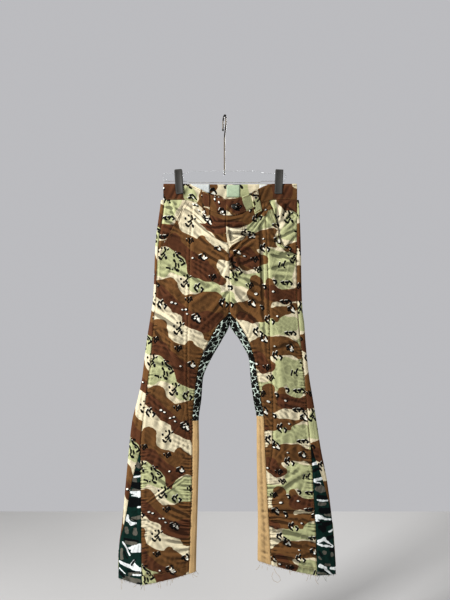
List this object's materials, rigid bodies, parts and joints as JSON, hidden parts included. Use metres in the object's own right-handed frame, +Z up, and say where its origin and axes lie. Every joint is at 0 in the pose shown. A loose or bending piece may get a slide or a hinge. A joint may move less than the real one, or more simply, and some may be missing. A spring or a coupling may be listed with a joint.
{
  "type": "camouflage patchwork jeans on a clip hanger",
  "caption": "wide patchwork jeans in several camouflage prints, with leopard and canvas inseam strips and flared godets, hanging flat from a clear clip hanger",
  "frame": {"origin": "where the hanger's hook rests on its rod, at the top of the hook's inside", "axes": "+Z up along the hanging length, +Y away from the viewer through the flat garment, +X to the viewer's right across the waist"},
  "size_m": [0.6053, 0.0692, 1.3029],
  "materials": {
    "desert": "printed cotton twill, desert camouflage",
    "woodland": "printed cotton twill, dark woodland camouflage",
    "leopard": "printed cotton, black leopard spots on mint",
    "canvas": "camel cotton canvas",
    "white": "plain white woven cotton",
    "pale_green": "pale green woven cotton",
    "gunmetal": "dark gunmetal plating",
    "steel": "bright drawn steel wire",
    "clip": "black moulded plastic",
    "acrylic": "clear moulded acrylic"
  },
  "bodies": {
    "root": {"front_outer_left": "desert", "front_inner_left": "desert", "pocket_facing_left": "desert", "back_left": "desert", "godet_left": "woodland", "inseam_leopard_left": "leopard", "inseam_canvas_left": "canvas", "hem_front_left": "desert", "hem_back_left": "desert", "front_outer_right": "desert", "front_inner_right": "desert", "pocket_facing_right": "desert", "back_right": "desert", "godet_right": "woodland", "inseam_leopard_right": "leopard", "inseam_canvas_right": "canvas", "hem_front_right": "desert", "hem_back_right": "desert", "waistband_front_left": "desert", "waistband_front_right": "desert", "waistband_back": "desert", "belt_loop_front_left": "desert", "belt_loop_front_right": "desert", "belt_loop_back_left": "desert", "belt_loop_back_centre": "desert", "belt_loop_back_right": "desert", "waist_label": "pale_green", "white_label": "white", "waist_lining": "white", "button": "gunmetal", "hanger_bar": "acrylic", "hanger_hook": "steel", "hook_tip": "clip", "clip_left_front": "clip", "clip_left_back": "clip", "clip_left_spring": "gunmetal", "clip_right_front": "clip", "clip_right_back": "clip", "clip_right_spring": "gunmetal"}
  },
  "joints": []
}
